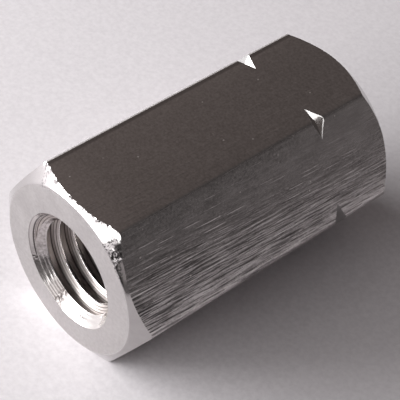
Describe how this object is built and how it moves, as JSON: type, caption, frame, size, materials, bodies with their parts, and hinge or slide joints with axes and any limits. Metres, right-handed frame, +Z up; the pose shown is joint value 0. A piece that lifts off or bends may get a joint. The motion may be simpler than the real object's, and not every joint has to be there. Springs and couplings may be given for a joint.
{
  "type": "coupling nut",
  "caption": "Long hexagonal steel coupling nut with chamfered ends, a threaded hole right through and a V-groove across its corners near one end, for joining threaded rods.",
  "frame": {"origin": "centre of the flat that the nut lies on", "axes": "+Y along the thread axis towards the grooved end, +Z up from the flat that it lies on, X across two corners"},
  "size_m": [0.0194, 0.03, 0.017],
  "materials": {
    "bright_steel": "bright drawn hexagon bar with faced and chamfered ends, unplated"
  },
  "bodies": {
    "root": {"coupling_nut": "bright_steel"}
  },
  "joints": []
}
